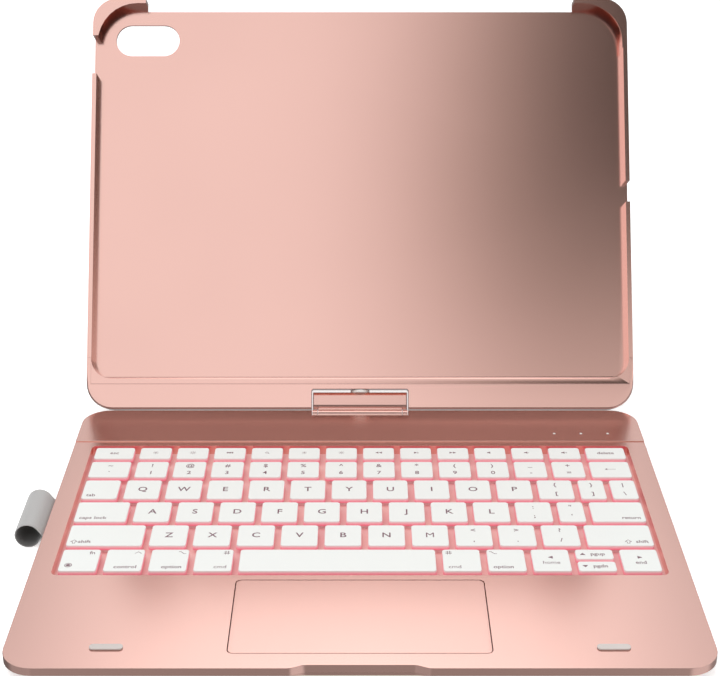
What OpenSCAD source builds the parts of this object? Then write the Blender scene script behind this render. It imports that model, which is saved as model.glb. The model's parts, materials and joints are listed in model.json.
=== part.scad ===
// Keyboard case for a 10.9 inch class tablet: a backlit keyboard base, a friction hinge that tilts,
// a swivel post that lets the tablet shell turn round, and a snap-in tablet shell.
// Frame: +X to the user's right, +Y towards the hinge, +Z up, the desk at z = 0,
// the origin midway between the four rubber feet.

/* [Base] */
// Width of the keyboard base
base_w = 253; // [252:0.5:256]
// Depth of the keyboard base, front edge to hinge edge
base_d = 199.4; // [199:0.1:200]
// Height of the deck above the desk
deck_z = 7.6; // [7.4:0.1:8]
// How far the rear plateau stands above the deck
plateau_rise = 0.4; // [0.2:0.05:0.5]
// Depth of the rear plateau
plateau_d = 30.5; // [29:0.5:32]
// Corner radius of the base and of the shell
corner_r = 12; // [10:0.5:14]
// Thickness of the rubber feet
foot_h = 0.8; // [0.6:0.1:1]
// Travel of the trackpad when it clicks
trackpad_travel = 0.3; // [0.2:0.05:0.4]

/* [Keyboard] */
// Width of one letter key
key_w = 14.85; // [14.5:0.05:14.9]
// Depth of one letter key
key_d = 15.9; // [15:0.1:16]
// Gap between two neighbouring keys of a row
key_gap = 2.5; // [2.4:0.05:2.6]
// Distance between two rows of letter keys
row_pitch = 18.55; // [18.4:0.05:18.8]
// Height of a key cap
key_h = 2; // [1.8:0.1:2.2]
// Travel of a key; the domes below are a crown taller than it
key_travel = 1.5; // [1:0.1:1.6]

/* [Shell] */
// Width of the tablet shell
shell_w = 254; // [253:0.5:256]
// Length of the tablet shell from its hinge edge to its free edge
shell_l = 196; // [195.5:0.5:197]
// Thickness of the tablet shell
shell_t = 9.2; // [9:0.1:9.6]
// Thickness of the shell's back plate
plate_t = 1.5; // [1.2:0.1:1.8]
// Thickness of the shell's side walls
wall_t = 2; // [1.8:0.1:2.2]
// Angle between the base and the shell as they stand
open_angle = 120; // [100:1:130]

/* [Hinge] */
// Radius of the tilt barrel
barrel_r = 2.8; // [2.6:0.1:2.9]
// Height of the tilt axis above the desk
pivot_z = 6.2; // [6.1:0.05:6.3]
// Distance of the tilt axis from the base's rear edge
pivot_inset = 2; // [1.9:0.1:2.2]
// Distance from the tilt axis to the plane of the shell's front face
front_gap = 2.3; // [2.2:0.1:2.5]
// Width of the hinge notch in the shell
notch_w = 45; // [44.5:0.5:46]
// Length of the hinge notch, up from the shell's hinge edge
notch_l = 9.4; // [9.2:0.1:9.6]
// Radius of the swivel post
post_r = 2; // [1.8:0.1:2]
// Radius of the tilt shaft
shaft_r = 1.3; // [1.2:0.1:1.4]

/* [Hidden] */

$fn = 48;
eps = 0.01;

rear_y = 98.3;
front_y = rear_y - base_d;
side_x = base_w / 2;

// Heights of the layers in the base
floor_t = 0.8;
floor_z = foot_h + floor_t;
split_z = 4.4;
deck_t = 1;
deck_under = deck_z - deck_t;
plateau_z = deck_z + plateau_rise;
rim_t = 1.6;
underside_inset = 6;
cavity_inset = 6.4;

// The keyboard well, and the stack below the keys
well_w = 236.6;
well_rear = 64;
well_front = -41.4;
well_r = 2.5;
well_wall = 1.2;
plate_top = 3.4;
support_t = 0.5;
membrane_t = 0.4;
guide_t = 0.5;
stack_w = well_w + 2 * well_wall;
stack_d = well_rear - well_front + 2 * well_wall;
stack_y = (well_rear + well_front) / 2;

// Trackpad
trackpad_w = 93.8;
trackpad_d = 47.1;
trackpad_y = -68.5;
trackpad_gap = 0.3;
trackpad_r = 2;

// Front notch for a finger
finger_mouth = 51;
finger_flat = 37;
finger_depth = 2;
finger_wall = 4.2;

// Key rows: widths from left to right, then the y of each row's rear edge and its depth
narrow_w = 10.85;
small_w = 13.8;
keys_span = 232.6;
edge_key_w = (keys_span - 12 * small_w - 13 * key_gap) / 2;
tab_w = keys_span - 11 * key_w - 2 * narrow_w - 13 * key_gap;
caps_w = 21.4;
return_w = keys_span - caps_w - 10 * key_w - narrow_w - 12 * key_gap;
left_shift_w = 30.2;
right_shift_w = keys_span - left_shift_w - 10 * key_w - 11 * key_gap;
space_w = keys_span - 9 * key_w - 9 * key_gap;
function several(w, n) = [for (i = [1:n]) w];
rows = [
    concat([edge_key_w], several(small_w, 12), [edge_key_w]),
    concat([edge_key_w], several(small_w, 12), [edge_key_w]),
    concat([tab_w], several(key_w, 11), [narrow_w, narrow_w]),
    concat([caps_w], several(key_w, 10), [narrow_w, return_w]),
    concat([left_shift_w], several(key_w, 10), [right_shift_w]),
    concat(several(key_w, 4), [space_w], several(key_w, 5))
];
row_depths = [10.2, 13.9, key_d, key_d, key_d, key_d];
row2_rear = 33.1;
function row_rear(r) = r >= 2 ? row2_rear - (r - 2) * row_pitch
    : row_rear(r + 1) + row_depths[r] + key_gap + 0.1;
function sum_to(list, n, i = 0) = i >= n ? 0 : list[i] + sum_to(list, n, i + 1);
function key_left(r, k) = -keys_span / 2 + sum_to(rows[r], k) + k * key_gap;
key_r = 1.3;
key_top = deck_z - 0.1;
key_bottom = key_top - key_h;
key_wall = 0.8;
key_roof = 1.1;
arrow_split = 1.6;
arrow_d = (key_d - arrow_split) / 2;
arrow_key = 8;
frame_max = 10.5;
frame_bar = 0.8;
frame_h = 1.2;
dome_max_r = 2.6;
dome_h = key_travel + 1;

// Indicators, side switch and socket
indicator_x = [87.2, 99.2, 111.2];
indicator_y = 75;
indicator_r = 0.6;
switch_y = 65.5;
switch_slot = 6;
knob_low = 5.2;
knob_h = 0.8;
knob_w = 3;
socket_y = 80.6;
socket_w = 8.9;
socket_h = 3.2;
board_t = 0.8;
boss_r = 2.2;
screw_r = 0.7;
screw_head_r = 1.5;
screw_spots = [[115, 88], [60, 89.3], [115, -88.3], [51, -90.3]];
foot_x = 106;
foot_y = 82;
pad_x = 90;
pad_y = -88.9;

// Pencil loop on the left edge
loop_len = 29;
loop_y = 5;
loop_r = 5.3;
loop_bore_r = 4.4;
loop_z = 5.5;
loop_x = -side_x - 6.8;
loop_tab_t = 1.2;

// Hinge
pivot_y = rear_y - pivot_inset;
edge_gap = barrel_r + 0.4;
lean = 180 - open_angle;
mid_t = shell_t / 2;
swivel_r = notch_w / 2 - 0.6;
block_l = 7.8;
block_edge = 1.4;
knuckle_in = 19.6;
knuckle_out = 21.9;
pocket_half = 22.2;
bracket_out = 42;
bracket_screw_x = [28, 37];
bracket_y = 84;
back_cover_w = 36;
back_cover_t = 0.8;
washer_r = 4.4;
run_gap = 0.04;
bush_r = 3;
bush_top = notch_l + 1.6;
clip_t = 0.5;
clip_top = bush_top + 0.15 + clip_t;

// Tablet shell
pocket_l = 14.4;
bar_l = 11.7;
notch_r = 1;
cover_t = 1.2;
ear_l = 24;
plate_l = 191.6;
top_open = 102;
left_gap = [159.4, 177.9];
right_gap = [97.7, 107.7];
lip_t = 0.6;
lip_inset = 2.4;
lip_r = 18.6;
recess_r = 9;
lip_from = 172;
camera_x = [-116.9, -86.6];
camera_l = [169.9, 185];

// Points of an arc, and of a rectangle with rounded corners centred on the origin
function arc(c, r, from, to, n = 8) =
    [for (i = [0:n]) c + r * [cos(from + (to - from) * i / n), sin(from + (to - from) * i / n)]];
function round_rect(w, d, r, n = 8) = concat(
    arc([w / 2 - r, d / 2 - r], r, 0, 90, n), arc([r - w / 2, d / 2 - r], r, 90, 180, n),
    arc([r - w / 2, r - d / 2], r, 180, 270, n), arc([w / 2 - r, r - d / 2], r, 270, 360, n));

module plate(w, d, r, h, n = 8) {
    linear_extrude(h) polygon(round_rect(w, d, r, n));
}

module box(low, high) {
    translate(low) cube(high - low);
}

module both_sides() {
    children();
    mirror([1, 0, 0]) children();
}

// The shell's own frame: x across, y up from its hinge edge, z out of its front face
module on_shell() {
    translate([0, pivot_y, pivot_z]) rotate([lean, 0, 0]) translate([0, edge_gap, -front_gap])
        children();
}

// Turns a solid drawn along +Z about the origin so that it lies along the shell's swivel axis
module on_swivel_axis(from) {
    on_shell() translate([0, from, -mid_t]) rotate([-90, 0, 0]) children();
}

module across(half) {
    translate([-half, 0, 0]) rotate([90, 0, 90]) linear_extrude(2 * half) children();
}

// ---- Base -------------------------------------------------------------------------------------

module base_block(inset, z, h) {
    translate([0, (rear_y + front_y) / 2, z])
        plate(base_w - 2 * inset, base_d - 2 * inset, corner_r - inset / 2, h);
}

// Front notch: an S-curve in, a straight floor, an S-curve out
module finger_notch(z, h) {
    ramp = (finger_mouth - finger_flat) / 2;
    steps = 8;
    half = [for (i = [0:steps]) [finger_flat / 2 + ramp * (1 - i / steps),
        front_y + finger_depth * (1 - cos(180 * i / steps)) / 2]];
    other = [for (i = [0:steps]) [-half[steps - i][0], half[steps - i][1]]];
    translate([0, 0, z]) linear_extrude(h)
        polygon(concat([[finger_mouth / 2, front_y - 1]], half, other, [[-finger_mouth / 2, front_y - 1]]));
}

module hinge_pocket(z) {
    box([-pocket_half, pivot_y - barrel_r - 0.3, z], [pocket_half, rear_y + 1, plateau_z + 1]);
}

module socket_window() {
    low = floor_z + board_t - 0.2;
    half = socket_w / 2 + 0.2;
    box([side_x - 8, socket_y - half, low], [side_x + 1, socket_y + half, low + socket_h + 0.4]);
}

module tapered_tray(low_inset, low, high_inset, high) {
    hull() {
        base_block(low_inset, low, eps);
        base_block(high_inset, high, eps);
    }
}

// The wall that closes the base behind the front notch
module behind_notch(low, high) {
    box([-finger_mouth / 2 - 1, front_y, low], [finger_mouth / 2 + 1, front_y + finger_wall, high]);
}

module base_bottom_cover() {
    color("#a88073") difference() {
        tapered_tray(underside_inset, foot_h, 0, split_z - eps);
        difference() {
            tapered_tray(cavity_inset, floor_z, rim_t, split_z);
            behind_notch(0, split_z);
        }
        hinge_pocket(floor_z);
        socket_window();
        finger_notch(split_z - finger_depth, finger_depth + 1);
        for (spot = screw_spots) both_sides() translate([spot[0], spot[1], 0]) {
            cylinder(r = screw_r + 0.1, h = 3);
            cylinder(r = screw_head_r + 0.1, h = foot_h + 0.5);
        }
    }
}

module well_outline(grow) {
    d = well_rear - well_front + 2 * grow;
    translate([0, stack_y]) polygon(round_rect(well_w + 2 * grow, d, well_r));
}

module screw_bosses() {
    for (spot = screw_spots) both_sides() translate([spot[0], spot[1], floor_z])
        cylinder(r = boss_r, h = deck_under - floor_z + eps);
}

module deck_cover() {
    color("#cf9f90") difference() {
        union() {
            difference() {
                base_block(0, split_z, deck_z - split_z);
                base_block(rim_t, split_z - 1, deck_under - split_z + 1);
            }
            intersection() {
                base_block(0, deck_under, plateau_z - deck_under);
                box([-side_x, rear_y - plateau_d, 0], [side_x, rear_y, plateau_z]);
            }
            translate([0, 0, plate_top]) linear_extrude(deck_under - plate_top + eps)
                well_outline(well_wall);
            screw_bosses();
            behind_notch(split_z, deck_under + eps);
        }
        translate([0, 0, plate_top - 1]) linear_extrude(deck_z) well_outline(0);
        translate([0, trackpad_y, deck_under - 1]) plate(trackpad_w + 2 * trackpad_gap,
            trackpad_d + 2 * trackpad_gap, trackpad_r + trackpad_gap, deck_z);
        hinge_pocket(split_z - 1);
        finger_notch(split_z - 1, deck_z);
        socket_window();
        for (x = indicator_x) translate([x, indicator_y, deck_under - 1])
            cylinder(r = indicator_r, h = deck_z);
        box([side_x - 4, switch_y - switch_slot / 2, knob_low - 0.3],
            [side_x + 1, switch_y + switch_slot / 2, knob_low + knob_h + 0.3]);
        box([-side_x - 1, loop_y - loop_len / 2 - 0.2, split_z - 1],
            [rim_t - side_x + 1, loop_y + loop_len / 2 + 0.2, split_z + loop_tab_t]);
        for (spot = screw_spots) both_sides() translate([spot[0], spot[1], 0])
            cylinder(r = screw_r, h = deck_under - 0.6);
    }
}

module rubber_feet() {
    color("#3a3638") both_sides() for (y = [-foot_y, foot_y]) translate([foot_x, y, 0])
        cylinder(r = 5, h = foot_h);
}

module front_bumper_pads() {
    color("#a7abb3") both_sides() translate([pad_x, pad_y, deck_z]) plate(12, 3.2, 1.5, 0.7);
}

module cover_screws() {
    color("#b9b4b2") both_sides() for (spot = screw_spots) translate([spot[0], spot[1], foot_h + 0.1]) {
        difference() {
            cylinder(r = screw_head_r, h = 0.4);
            translate([0, 0, -eps]) cylinder(r = 0.7, h = 0.25, $fn = 6);
        }
        cylinder(r = screw_r, h = 4.6);
    }
}

module stack_layer(top, h, inset = 0) {
    translate([0, stack_y, top - h]) plate(stack_w - 2 * inset, stack_d - 2 * inset, well_r, h);
}

module key_support_plate() {
    color("#e2b3a8") stack_layer(plate_top, support_t);
}

module switch_membrane() {
    color("#8d8f94") stack_layer(plate_top - support_t, membrane_t, 1);
}

module backlight_light_guide() {
    color("#f3e6e6") stack_layer(plate_top - support_t - membrane_t, guide_t, 1);
}

module backlight_led_strip() {
    color("#f0d070") {
        y = well_front - 3.5;
        box([-100, y - 1.1, floor_z], [100, y + 1.1, floor_z + 0.4]);
        for (x = [-90:20:90]) box([x - 1, y - 0.7, floor_z + 0.4], [x + 1, y + 0.7, floor_z + 1]);
    }
}

// ---- Keys ---------------------------------------------------------------------------------------

module key_cap(x, rear, w, d) {
    translate([x + w / 2, rear - d / 2, key_bottom]) difference() {
        plate(w, d, key_r, key_h, 4);
        translate([0, 0, -eps])
            plate(w - 2 * key_wall, d - 2 * key_wall, key_r - key_wall, key_h - key_roof, 2);
    }
}

module caps(r, from, to) {
    color("#f4f6f4") for (k = [from:to])
        key_cap(key_left(r, k), row_rear(r), rows[r][k], row_depths[r]);
}

module arrow_cap(step) {
    rear = row_rear(5) - step * (arrow_d + arrow_split);
    color("#f4f6f4") key_cap(key_left(5, arrow_key), rear, key_w, arrow_d);
}

// Each key stands on a rubber dome inside a scissor frame
module under_key(x, rear, w, d, dome) {
    half = [min(w - 3, frame_max), d - 3] / 2;
    inner = half - [frame_bar, frame_bar];
    dome_r = min(dome_max_r, inner[1] - 0.25);
    translate([x + w / 2, rear - d / 2, plate_top]) {
        if (dome) cylinder(r1 = dome_r, r2 = dome_r * 0.6, h = dome_h, $fn = 20);
        else difference() {
            box([-half[0], -half[1], 0], [half[0], half[1], frame_h]);
            box([-inner[0], -inner[1], -1], [inner[0], inner[1], frame_h + 1]);
        }
    }
}

module under_all_keys(dome) {
    for (r = [0:5]) for (k = [0:len(rows[r]) - 1])
        if (r == 5 && k == arrow_key) for (step = [0, arrow_d + arrow_split])
            under_key(key_left(r, k), row_rear(r) - step, key_w, arrow_d, dome);
        else under_key(key_left(r, k), row_rear(r), rows[r][k], row_depths[r], dome);
}

module scissor_frames() {
    color("#d8d8da") under_all_keys(false);
}

module rubber_domes() {
    color("#e9e4dd") under_all_keys(true);
}

module key_escape() { caps(0, 0, 0); }
module keys_function_row() { caps(0, 1, 12); }
module key_lock() { caps(0, 13, 13); }
module keys_number_row() { caps(1, 0, 12); }
module key_backspace() { caps(1, 13, 13); }
module key_tab() { caps(2, 0, 0); }
module keys_upper_letters() { caps(2, 1, 13); }
module key_caps_lock() { caps(3, 0, 0); }
module keys_home_letters() { caps(3, 1, 11); }
module key_return() { caps(3, 12, 12); }
module key_left_shift() { caps(4, 0, 0); }
module keys_lower_letters() { caps(4, 1, 10); }
module key_right_shift() { caps(4, 11, 11); }
module key_fn() { caps(5, 0, 0); }
module key_control() { caps(5, 1, 1); }
module key_left_option() { caps(5, 2, 2); }
module key_left_command() { caps(5, 3, 3); }
module key_space() { caps(5, 4, 4); }
module key_right_command() { caps(5, 5, 5); }
module key_right_option() { caps(5, 6, 6); }
module key_arrow_left() { caps(5, 7, 7); }
module key_arrow_up() { arrow_cap(0); }
module key_arrow_down() { arrow_cap(1); }
module key_arrow_right() { caps(5, 9, 9); }

// ---- Electronics --------------------------------------------------------------------------------

module main_circuit_board() {
    color("#2f5d43") {
        low = floor_z + board_t;
        box([64, 69, floor_z], [119, 85.5, low]);
        for (x = indicator_x) box([x - 1, indicator_y - 1, low], [x + 1, indicator_y + 1, low + 0.7]);
        box([70, 76, low], [80, 84, low + 1.2]);
    }
}

module usb_c_socket() {
    low = floor_z + board_t;
    color("#b5b5b9") difference() {
        translate([side_x - 10.5, socket_y, low + socket_h / 2]) rotate([90, 0, 90])
            plate(socket_w, socket_h, 1.3, 7);
        translate([side_x - 9.5, socket_y, low + socket_h / 2]) rotate([90, 0, 90])
            plate(socket_w - 0.6, socket_h - 0.6, 1, 7);
    }
    color("#2c2c2e") box([side_x - 9.5 - eps, socket_y - 3, low + 1.25],
        [side_x - 4.5, socket_y + 3, low + 1.95]);
}

module power_switch_body() {
    color("#2c2c2e") box([side_x - 6, switch_y - 4.5, floor_z + 2.4],
        [side_x - 2.6, switch_y + 4.5, deck_under - 0.2]);
}

module power_switch_knob() {
    color("#1f1f21") box([side_x - 2.3, switch_y + 0.4 - knob_w, knob_low],
        [side_x + 0.7, switch_y + 0.4, knob_low + knob_h]);
}

module indicator_light_pipes() {
    color("#fff4e8") for (x = indicator_x) translate([x, indicator_y, floor_z + 1.8])
        cylinder(r = indicator_r, h = plateau_z - floor_z - 1.8);
}

module battery_cells() {
    color("#c4c6ca") both_sides() box([56, -88, floor_z], [112, -50, floor_z + 3.6]);
}

// Flat ribbons from the keyboard membrane and from the batteries to the main board
module ribbon_cables() {
    color("#c98a3a") {
        box([96, 66, floor_z], [104, 68.7, floor_z + 0.25]);
        box([-60, -48.4, floor_z], [60, -46.8, floor_z + 0.25]);
    }
}

module wake_magnets() {
    color("#77777c") both_sides() box([64, -96.5, deck_under - 1.5], [84, -93.5, deck_under]);
}

module trackpad_plate() {
    color("#dcae9f") translate([0, trackpad_y, deck_under])
        plate(trackpad_w, trackpad_d, trackpad_r, deck_t);
}

module trackpad_board() {
    color("#2f5d43") translate([0, trackpad_y, deck_under - board_t])
        plate(trackpad_w - 4, trackpad_d - 4, 1, board_t);
}

module trackpad_click_switch() {
    top = deck_under - board_t - trackpad_travel - 0.1;
    color("#9a9a9e") {
        box([-5, -87, floor_z], [5, -77, top - 0.6]);
        translate([0, -82, top - 0.6 - eps]) cylinder(r = 2, h = 0.6 + eps);
    }
}

// ---- Pencil loop ----------------------------------------------------------------------------------

module pencil_loop() {
    half = loop_len / 2;
    color("#c9c8cb") translate([0, loop_y, 0]) difference() {
        union() {
            translate([loop_x, half, loop_z]) rotate([90, 0, 0]) cylinder(r = loop_r, h = loop_len);
            box([loop_x, -half, split_z], [1 - side_x + rim_t, half, split_z + loop_tab_t]);
        }
        translate([loop_x, half + 1, loop_z]) rotate([90, 0, 0])
            cylinder(r = loop_bore_r, h = loop_len + 2);
    }
}

module loop_clamp_plate() {
    low = split_z + loop_tab_t;
    color("#8e8e92") translate([rim_t - side_x, loop_y, low])
        box([0.1, -loop_len / 2, 0], [4, loop_len / 2, 0.8]);
}

// ---- Hinge ----------------------------------------------------------------------------------------

module along_tilt_axis(from, to) {
    translate([from, pivot_y, pivot_z]) rotate([0, 90, 0]) linear_extrude(to - from) children();
}

module hinge_bracket() {
    leg_low = 2.2;
    color("#b98a7c") difference() {
        union() {
            along_tilt_axis(knuckle_in, knuckle_out) circle(r = barrel_r);
            box([knuckle_in, bracket_y, leg_low], [knuckle_out, pivot_y, leg_low + 2]);
            box([knuckle_in, bracket_y - 4, floor_z], [bracket_out, bracket_y + 4, leg_low + 0.8]);
        }
        along_tilt_axis(knuckle_in - 1, knuckle_out + 1) circle(r = shaft_r + run_gap);
        for (x = bracket_screw_x) translate([x, bracket_y, 0]) cylinder(r = screw_r, h = 4);
    }
}

module hinge_bracket_right() { hinge_bracket(); }
module hinge_bracket_left() { mirror([1, 0, 0]) hinge_bracket(); }

module bracket_screws() {
    color("#b9b4b2") both_sides() for (x = bracket_screw_x) translate([x, bracket_y, floor_z]) {
        cylinder(r = screw_r, h = 2);
        translate([0, 0, 1.4]) cylinder(r = screw_head_r, h = 0.8);
    }
}

module tilt_shaft() {
    color("#8f8f93") along_tilt_axis(-knuckle_out, knuckle_out) circle(r = shaft_r);
}

// The block is trimmed to a cylinder about the swivel axis, so the shell's notch can turn round it
module hinge_block() {
    color("#cf9f90") difference() {
        union() {
            intersection() {
                on_shell() across(swivel_r) polygon([[0, -shell_t], [block_l, -shell_t],
                    [block_l, -block_edge], [block_l - block_edge, 0], [2, 0], [0, -0.5]]);
                on_swivel_axis(-1) cylinder(r = swivel_r, h = block_l + 2, $fn = 96);
            }
            on_shell() across(knuckle_in - 0.3)
                polygon([[0.5, -0.5], [0.5, -6], [-2.4, -1.8], [-edge_gap, front_gap], [-0.5, front_gap],
                    [-0.1, -0.1]]);
            along_tilt_axis(0.3 - knuckle_in, knuckle_in - 0.3) circle(r = barrel_r);
        }
        along_tilt_axis(-knuckle_in, knuckle_in) circle(r = shaft_r);
        on_swivel_axis(2) cylinder(r = post_r, h = block_l);
        on_shell() back_cover_box(1);
    }
}

module back_cover_box(extra) {
    box([-back_cover_w / 2, 1, -shell_t - extra], [back_cover_w / 2, block_l - 1, back_cover_t - shell_t]);
}

module hinge_back_cover() {
    color("#c79687") on_shell() back_cover_box(0);
}

module swivel_post() {
    color("#8f8f93") on_swivel_axis(2) cylinder(r = post_r, h = clip_top - 2);
}

module swivel_washers() {
    pitch = (notch_l - block_l - 0.3) / 3;
    color("#5b5b60") for (i = [0:2]) on_swivel_axis(block_l + i * pitch) difference() {
        cylinder(r = washer_r, h = pitch);
        translate([0, 0, -1]) cylinder(r = post_r, h = pitch + 2);
    }
}

module post_clip() {
    color("#5b5b60") on_swivel_axis(clip_top - clip_t) difference() {
        cylinder(r = bush_r, h = clip_t);
        translate([0, 0, -1]) cylinder(r = post_r, h = clip_t + 2);
    }
}

// ---- Tablet shell -----------------------------------------------------------------------------------

module swivel_bush() {
    color("#b08d4f") on_swivel_axis(notch_l) difference() {
        cylinder(r = bush_r, h = bush_top - notch_l);
        translate([0, 0, -1]) cylinder(r = post_r + run_gap, h = bush_top);
    }
}

module shell_outline(inset = 0, r = corner_r) {
    translate([0, shell_l / 2]) polygon(round_rect(shell_w - 2 * inset, shell_l - 2 * inset, r));
}

module shell_band(x, l) {
    translate([x[0], l[0]]) square([x[1] - x[0], l[1] - l[0]]);
}

module notch_outline() {
    half = notch_w / 2;
    r = notch_r;
    polygon(concat([[-half, -1], [half, -1]],
        arc([half - r, notch_l - r], r, 0, 90, 6), arc([r - half, notch_l - r], r, 90, 180, 6)));
}

// Front cover of the bar: the whole bar's face, with an ear up each side wall
module bar_cover_outline() {
    difference() {
        intersection() {
            shell_outline();
            union() {
                shell_band([-shell_w, shell_w], [0, bar_l]);
                shell_band([-shell_w, wall_t - shell_w / 2], [0, ear_l]);
                shell_band([shell_w / 2 - wall_t, shell_w], [0, ear_l]);
            }
        }
        notch_outline();
    }
}

module camera_outline() {
    r = (camera_l[1] - camera_l[0]) / 2;
    shell_band([camera_x[0] + r, camera_x[1] - r], camera_l);
    for (x = [camera_x[0] + r, camera_x[1] - r]) translate([x, camera_l[0] + r]) circle(r = r);
}

module shell_plate() {
    translate([0, 0, -shell_t]) linear_extrude(plate_t) difference() {
        shell_outline();
        shell_band([-top_open, top_open], [plate_l, shell_l + 1]);
        notch_outline();
        camera_outline();
    }
}

module shell_walls() {
    translate([0, 0, plate_t - shell_t - eps]) linear_extrude(shell_t - plate_t + eps) difference() {
        shell_outline();
        shell_outline(wall_t, corner_r - wall_t);
        shell_band([-top_open, top_open], [bar_l + 5, shell_l + 1]);
        shell_band([-shell_w, 0], left_gap);
        shell_band([0, shell_w], right_gap);
        notch_outline();
    }
}

module corner_lips() {
    translate([0, 0, -lip_t]) linear_extrude(lip_t) difference() {
        shell_outline(wall_t - 0.5, corner_r - wall_t + 0.5);
        shell_outline(lip_inset, lip_r);
        shell_band([-top_open, top_open], [0, shell_l + 1]);
        shell_band([-shell_w, shell_w], [0, lip_from]);
        shell_band([-shell_w, 0], left_gap);
    }
}

// Rounded lower corners of the tablet's recess
module recess_corners() {
    translate([0, 0, plate_t - shell_t - eps]) linear_extrude(shell_t - plate_t + eps - 0.15)
        for (side = [-1, 1]) scale([side, 1]) translate([shell_w / 2 - wall_t, pocket_l]) difference() {
            translate([-recess_r, -1]) square([recess_r + 1, recess_r + 1]);
            translate([-recess_r, recess_r]) circle(r = recess_r, $fn = 72);
        }
}

// Inside the bar: its upper wall with a sloping front edge, and the walls round the hinge notch
module bar_walls() {
    inner = plate_t - shell_t;
    across(shell_w / 2 - 1) polygon([
        [bar_l - 1, 0], [bar_l, 0], [bar_l + 0.2, -0.15], [pocket_l - 0.4, -0.15], [pocket_l, -0.5],
        [pocket_l, inner + 1.5], [pocket_l + 1.5, inner], [bar_l - 1, inner]
    ]);
    translate([0, 0, plate_t - shell_t - eps]) linear_extrude(shell_t - plate_t + eps) difference() {
        shell_band([-notch_w / 2 - 2, notch_w / 2 + 2], [0, bar_l - 0.3]);
        notch_outline();
    }
}

module tablet_shell() {
    color("#d9aa9b") difference() {
        on_shell() difference() {
            union() {
                shell_plate();
                shell_walls();
                corner_lips();
                bar_walls();
                recess_corners();
            }
            translate([0, 0, -cover_t]) linear_extrude(cover_t + 1) bar_cover_outline();
            box([-3.6, bush_top, -mid_t - 3.3], [3.6, clip_top + 0.15, -cover_t + eps]);
        }
        on_swivel_axis(notch_l - 1) cylinder(r = bush_r, h = bush_top - notch_l + 1 + eps);
    }
}

module bar_front_cover() {
    color("#d9aa9b") on_shell() translate([0, 0, -cover_t]) linear_extrude(cover_t) bar_cover_outline();
}

base_bottom_cover();
deck_cover();
rubber_feet();
front_bumper_pads();
cover_screws();
key_support_plate();
switch_membrane();
backlight_light_guide();
backlight_led_strip();
scissor_frames();
rubber_domes();
main_circuit_board();
usb_c_socket();
power_switch_body();
power_switch_knob();
indicator_light_pipes();
battery_cells();
ribbon_cables();
wake_magnets();
trackpad_plate();
trackpad_board();
trackpad_click_switch();
pencil_loop();
loop_clamp_plate();
hinge_bracket_left();
hinge_bracket_right();
bracket_screws();
tilt_shaft();
hinge_block();
hinge_back_cover();
swivel_post();
swivel_washers();
post_clip();
swivel_bush();
tablet_shell();
bar_front_cover();
key_escape();
keys_function_row();
key_lock();
keys_number_row();
key_backspace();
key_tab();
keys_upper_letters();
key_caps_lock();
keys_home_letters();
key_return();
key_left_shift();
keys_lower_letters();
key_right_shift();
key_fn();
key_control();
key_left_option();
key_left_command();
key_space();
key_right_command();
key_right_option();
key_arrow_left();
key_arrow_up();
key_arrow_down();
key_arrow_right();
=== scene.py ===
"""The looks of the tablet keyboard case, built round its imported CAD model."""

import json
import math

import bmesh
import bpy
from mathutils import Matrix, Vector


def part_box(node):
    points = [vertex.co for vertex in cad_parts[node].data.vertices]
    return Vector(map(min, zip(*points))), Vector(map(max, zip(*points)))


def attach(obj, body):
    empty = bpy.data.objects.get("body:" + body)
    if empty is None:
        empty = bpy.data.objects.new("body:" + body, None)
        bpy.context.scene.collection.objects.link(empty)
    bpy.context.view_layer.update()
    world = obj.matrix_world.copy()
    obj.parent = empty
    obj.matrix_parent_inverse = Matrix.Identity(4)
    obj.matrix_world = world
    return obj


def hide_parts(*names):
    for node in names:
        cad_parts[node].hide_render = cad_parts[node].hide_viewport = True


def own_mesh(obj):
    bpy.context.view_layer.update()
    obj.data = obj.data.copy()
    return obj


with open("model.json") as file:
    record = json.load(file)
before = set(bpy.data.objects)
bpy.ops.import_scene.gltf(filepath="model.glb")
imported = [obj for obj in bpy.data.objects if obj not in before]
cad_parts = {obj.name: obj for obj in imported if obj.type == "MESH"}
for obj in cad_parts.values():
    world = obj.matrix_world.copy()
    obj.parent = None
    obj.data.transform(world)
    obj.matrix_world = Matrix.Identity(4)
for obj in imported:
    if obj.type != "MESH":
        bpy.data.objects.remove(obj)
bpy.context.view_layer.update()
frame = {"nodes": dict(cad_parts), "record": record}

MM = 0.001
nodes = frame["nodes"]
node_body = {n: b for b, names in frame["record"]["behaviour"]["bodies"].items() for n in names}
node_slot = {s["node"]: s["material_slot"] for s in frame["record"]["subparts"]}
scene = bpy.context.scene


def set_ramp(ramp, value, stops, link):
    """Gives a colour ramp its stops, each a place and a colour, and the value that it reads."""
    elements = ramp.color_ramp.elements
    for element, (at, tone) in zip(elements, (stops[0], stops[-1])):
        element.position = at
        element.color = (*tone, 1)
    for at, tone in stops[1:-1]:
        elements.new(at).color = (*tone, 1)
    link(value, ramp.inputs["Fac"])
    return ramp.outputs["Color"]


# ---- Camera, lights and floor --------------------------------------------------------------------

CAMERA_PLACE = Vector((0.0, -0.556, 0.3352))
CAMERA_PITCH = 23.95
CAMERA_LENS = 79.0
LIGHT_PLACE, LIGHT_SIZE, LIGHT_WATTS = Vector((-0.3, -0.3, 1.2)), (0.9, 0.7), 4.7
FLOOR_HALF, FLOOR_GLOW = 6.0, 0.5
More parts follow.
